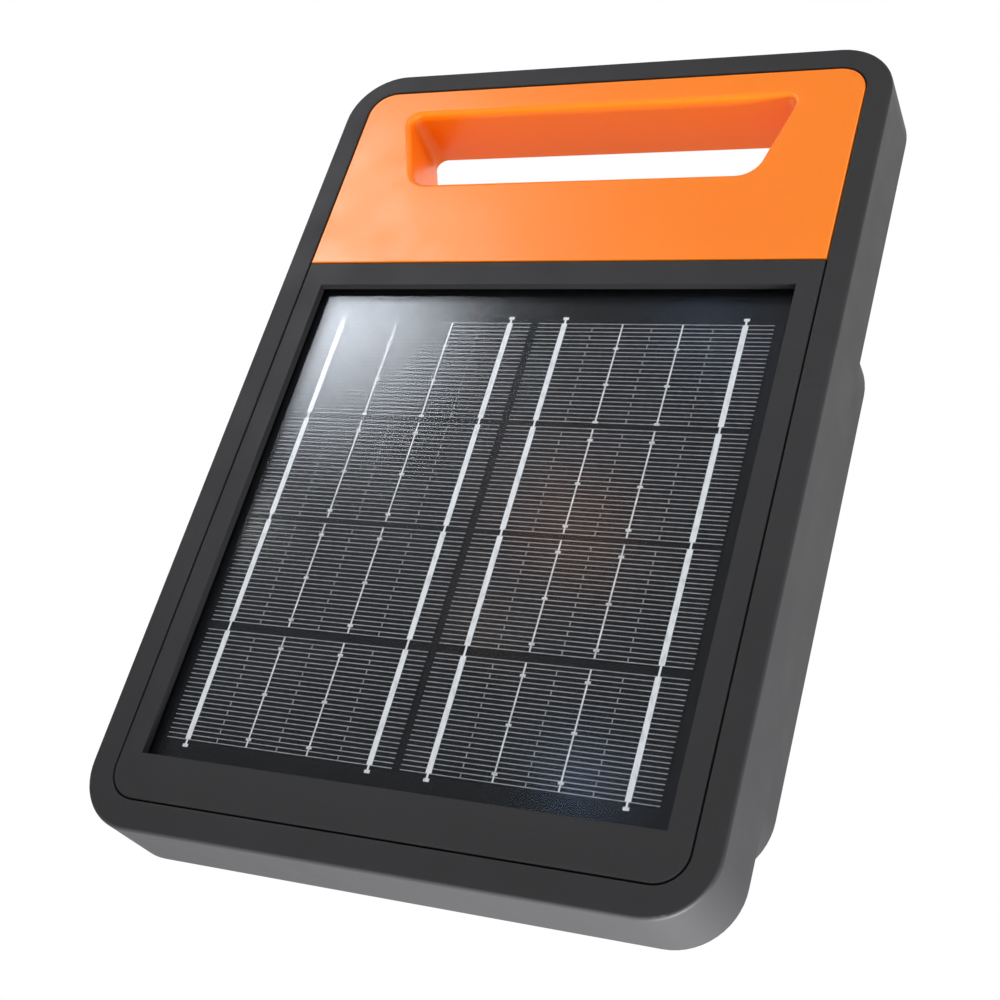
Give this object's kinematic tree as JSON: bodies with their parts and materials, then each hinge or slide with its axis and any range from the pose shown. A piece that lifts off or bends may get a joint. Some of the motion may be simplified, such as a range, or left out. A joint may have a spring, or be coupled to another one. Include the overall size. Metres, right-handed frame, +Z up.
{
  "type": "fence energizer",
  "caption": "Flat solar fence energizer with a grip through its top, a solar panel in front, terminals underneath and a post bracket behind.",
  "frame": {"origin": "middle of the post bracket's seat, on the plane where a post bears", "axes": "+X to the right seen from the front, +Y to the back and out of the seat, +Z up"},
  "size_m": [0.22, 0.092, 0.32],
  "materials": {
    "charcoal_plastic": "satin, fine texture",
    "orange_plastic": "satin",
    "panel_glass": "clear, glossy",
    "silicon": "dark, fine fingers",
    "tinned_copper": "bright",
    "backsheet": "matte",
    "foam_and_seal": "matte",
    "zinc_steel": "zinc plated",
    "stainless": "bright",
    "red_plastic": "satin",
    "green_plastic": "satin",
    "button_rubber": "matte",
    "black_component": "matte",
    "lens": "clear",
    "board_green": "satin",
    "connector_white": "satin",
    "core_steel": "laminated",
    "copper_wire": "enamelled",
    "capacitor_case": "satin",
    "heat_sink_metal": "anodised",
    "battery_wrap": "shrink wrap",
    "strap": "woven",
    "lead_insulation": "satin"
  },
  "bodies": {
    "housing": {"front_frame": "charcoal_plastic", "solar_bezel": "charcoal_plastic", "rear_cover": "charcoal_plastic", "button_collar": "charcoal_plastic", "vent_plug": "charcoal_plastic", "handle_cover": "orange_plastic", "panel_glass": "panel_glass", "solar_cells": "silicon", "cell_ribbons": "tinned_copper", "battery_contacts": "tinned_copper", "panel_backsheet": "backsheet", "panel_tape": "foam_and_seal", "panel_sealant": "foam_and_seal", "housing_seal": "foam_and_seal", "post_bracket": "zinc_steel", "bracket_screws": "zinc_steel", "case_screws": "zinc_steel", "board_screws": "zinc_steel", "tray_screws": "zinc_steel", "fence_stud": "stainless", "earth_stud": "stainless", "terminal_washers": "stainless", "terminal_nuts": "stainless", "port_hinge_pin": "stainless", "fence_bush": "red_plastic", "earth_bush": "green_plastic", "junction_box": "black_component", "button_guide": "black_component", "tact_switch": "black_component", "charge_socket": "black_component", "thyristor": "black_component", "control_chip": "black_component", "transformer_bobbin": "black_component", "battery_tray": "black_component", "status_lens": "lens", "status_led": "lens", "circuit_board": "board_green", "switch_board": "board_green", "board_connectors": "connector_white", "transformer_core": "core_steel", "transformer_winding": "copper_wire", "storage_capacitor": "capacitor_case", "smoothing_capacitors": "capacitor_case", "heat_sink": "heat_sink_metal", "battery_cells": "battery_wrap", "battery_strap": "strap", "battery_leads": "lead_insulation", "panel_leads": "lead_insulation", "output_leads": "lead_insulation", "control_cables": "lead_insulation"},
    "button": {"power_button": "button_rubber", "button_clip": "stainless"},
    "fence_nut": {"fence_knob": "red_plastic"},
    "earth_nut": {"earth_knob": "green_plastic"},
    "port_flap": {"port_cover": "button_rubber"}
  },
  "joints": [
    {"name": "button_press", "type": "slide", "parent": "housing", "child": "button", "axis": [0, 0, 1], "range_m": [0, 0.0012], "stiffness_N_per_m": 1500, "springref_m": -0.0015},
    {"name": "fence_nut_turn", "type": "hinge", "parent": "housing", "child": "fence_nut", "pos_m": [0.066, -0.0225, -0.115], "axis": [0, 0, 1], "continuous": true},
    {"name": "earth_nut_turn", "type": "hinge", "parent": "housing", "child": "earth_nut", "pos_m": [-0.066, -0.0225, -0.115], "axis": [0, 0, 1], "continuous": true},
    {"name": "port_flap_hinge", "type": "hinge", "parent": "housing", "child": "port_flap", "pos_m": [-0.034, -0.0339, -0.1064], "axis": [-1, 0, 0], "range_deg": [0, 100]}
  ]
}
